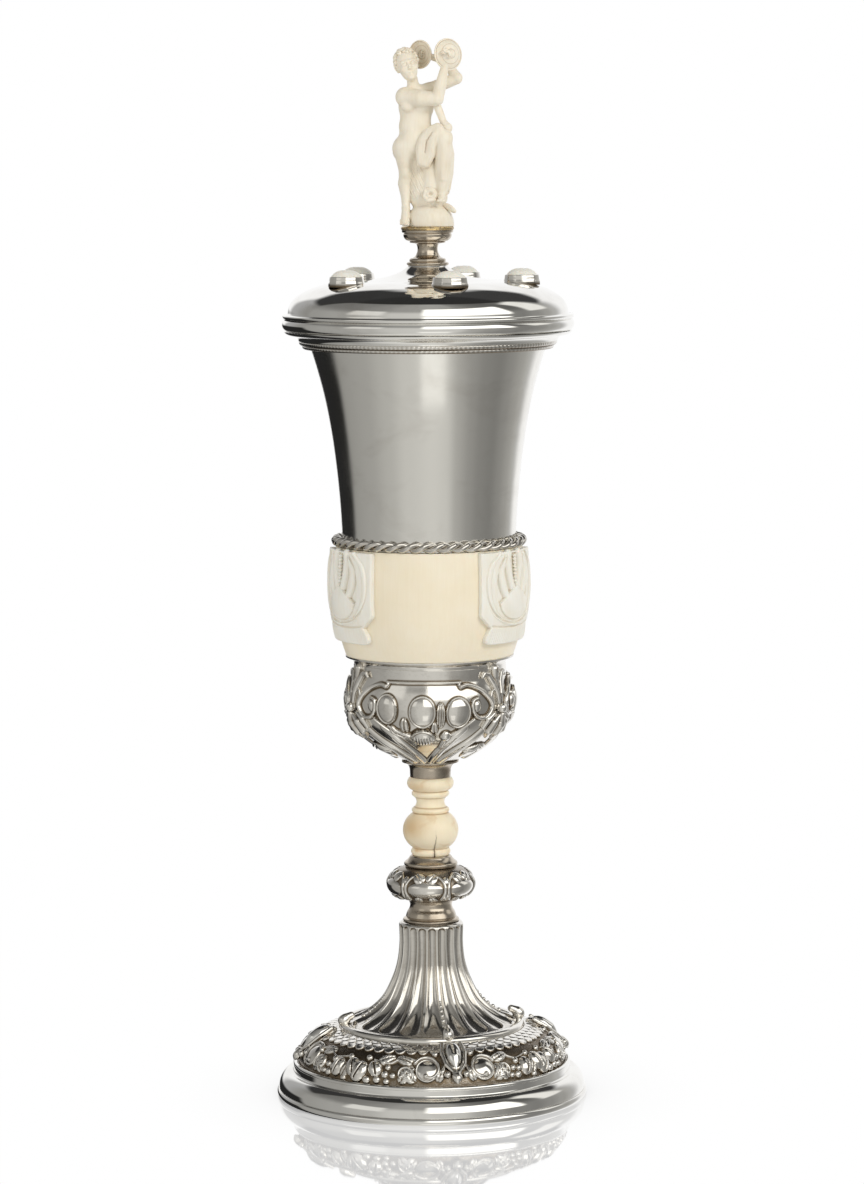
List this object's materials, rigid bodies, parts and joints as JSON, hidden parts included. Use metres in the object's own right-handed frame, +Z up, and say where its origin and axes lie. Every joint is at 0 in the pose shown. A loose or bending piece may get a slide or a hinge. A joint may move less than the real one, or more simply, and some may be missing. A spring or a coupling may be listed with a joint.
{
  "type": "covered ceremonial cup",
  "caption": "Tall silver cup with a lift-off cover: flared beaker, ivory sleeve and stem knop, chased foot, and a carved figure as the finial.",
  "frame": {"origin": "centre of the foot's underside, on the axis", "axes": "+Z up the axis of the cup, -Y towards the front (the side a viewer faces), +X to the viewer's right"},
  "size_m": [0.1184, 0.1184, 0.4],
  "materials": {
    "silver_polished": "polished silver",
    "silver_chased": "chased silver with dark tarnish in the hollows",
    "ivory_warm": "polished warm ivory with a fine upright grain",
    "ivory_pale": "carved pale ivory",
    "gilding": "worn gilding",
    "fixings": "plain turned metal"
  },
  "bodies": {
    "vessel": {"beaker": "silver_polished", "boss_beads": "silver_polished", "boss_frames": "silver_chased", "boss_ovals": "silver_polished", "calyx": "silver_chased", "calyx_collar": "silver_chased", "calyx_straps": "silver_chased", "carved_plaques": "ivory_pale", "foot_base_wire": "silver_polished", "foot_dome": "silver_chased", "foot_rim": "silver_polished", "foot_trumpet": "silver_chased", "foot_wire": "silver_polished", "ivory_baluster": "ivory_warm", "ivory_band": "ivory_warm", "knop": "silver_chased", "knop_cap": "silver_chased", "lip_ring": "silver_polished", "milled_band": "silver_chased", "rod_anchor": "silver_polished", "rod_nut": "fixings", "rod_washer": "fixings", "rope_ring": "silver_chased", "seat_ring": "silver_polished", "stem_neck": "silver_chased", "tie_rod": "fixings", "trumpet_ring": "silver_chased"},
    "cover": {"cover_dome": "silver_polished", "cover_rim_ring": "silver_polished", "cover_bezel": "silver_polished", "cabochon_settings": "silver_chased", "cabochons": "ivory_pale", "finial_knop": "silver_chased", "finial_cup": "silver_chased", "gilt_ring": "gilding", "finial_figure": "ivory_pale", "cymbal_front": "ivory_pale", "cymbal_rear": "ivory_pale", "finial_screw": "fixings", "finial_washer": "fixings", "finial_nut": "fixings"}
  },
  "joints": [
    {"name": "cover_lift", "type": "slide", "parent": "vessel", "child": "cover", "axis": [0, 0, 1], "range_m": [0, 0.08]}
  ]
}
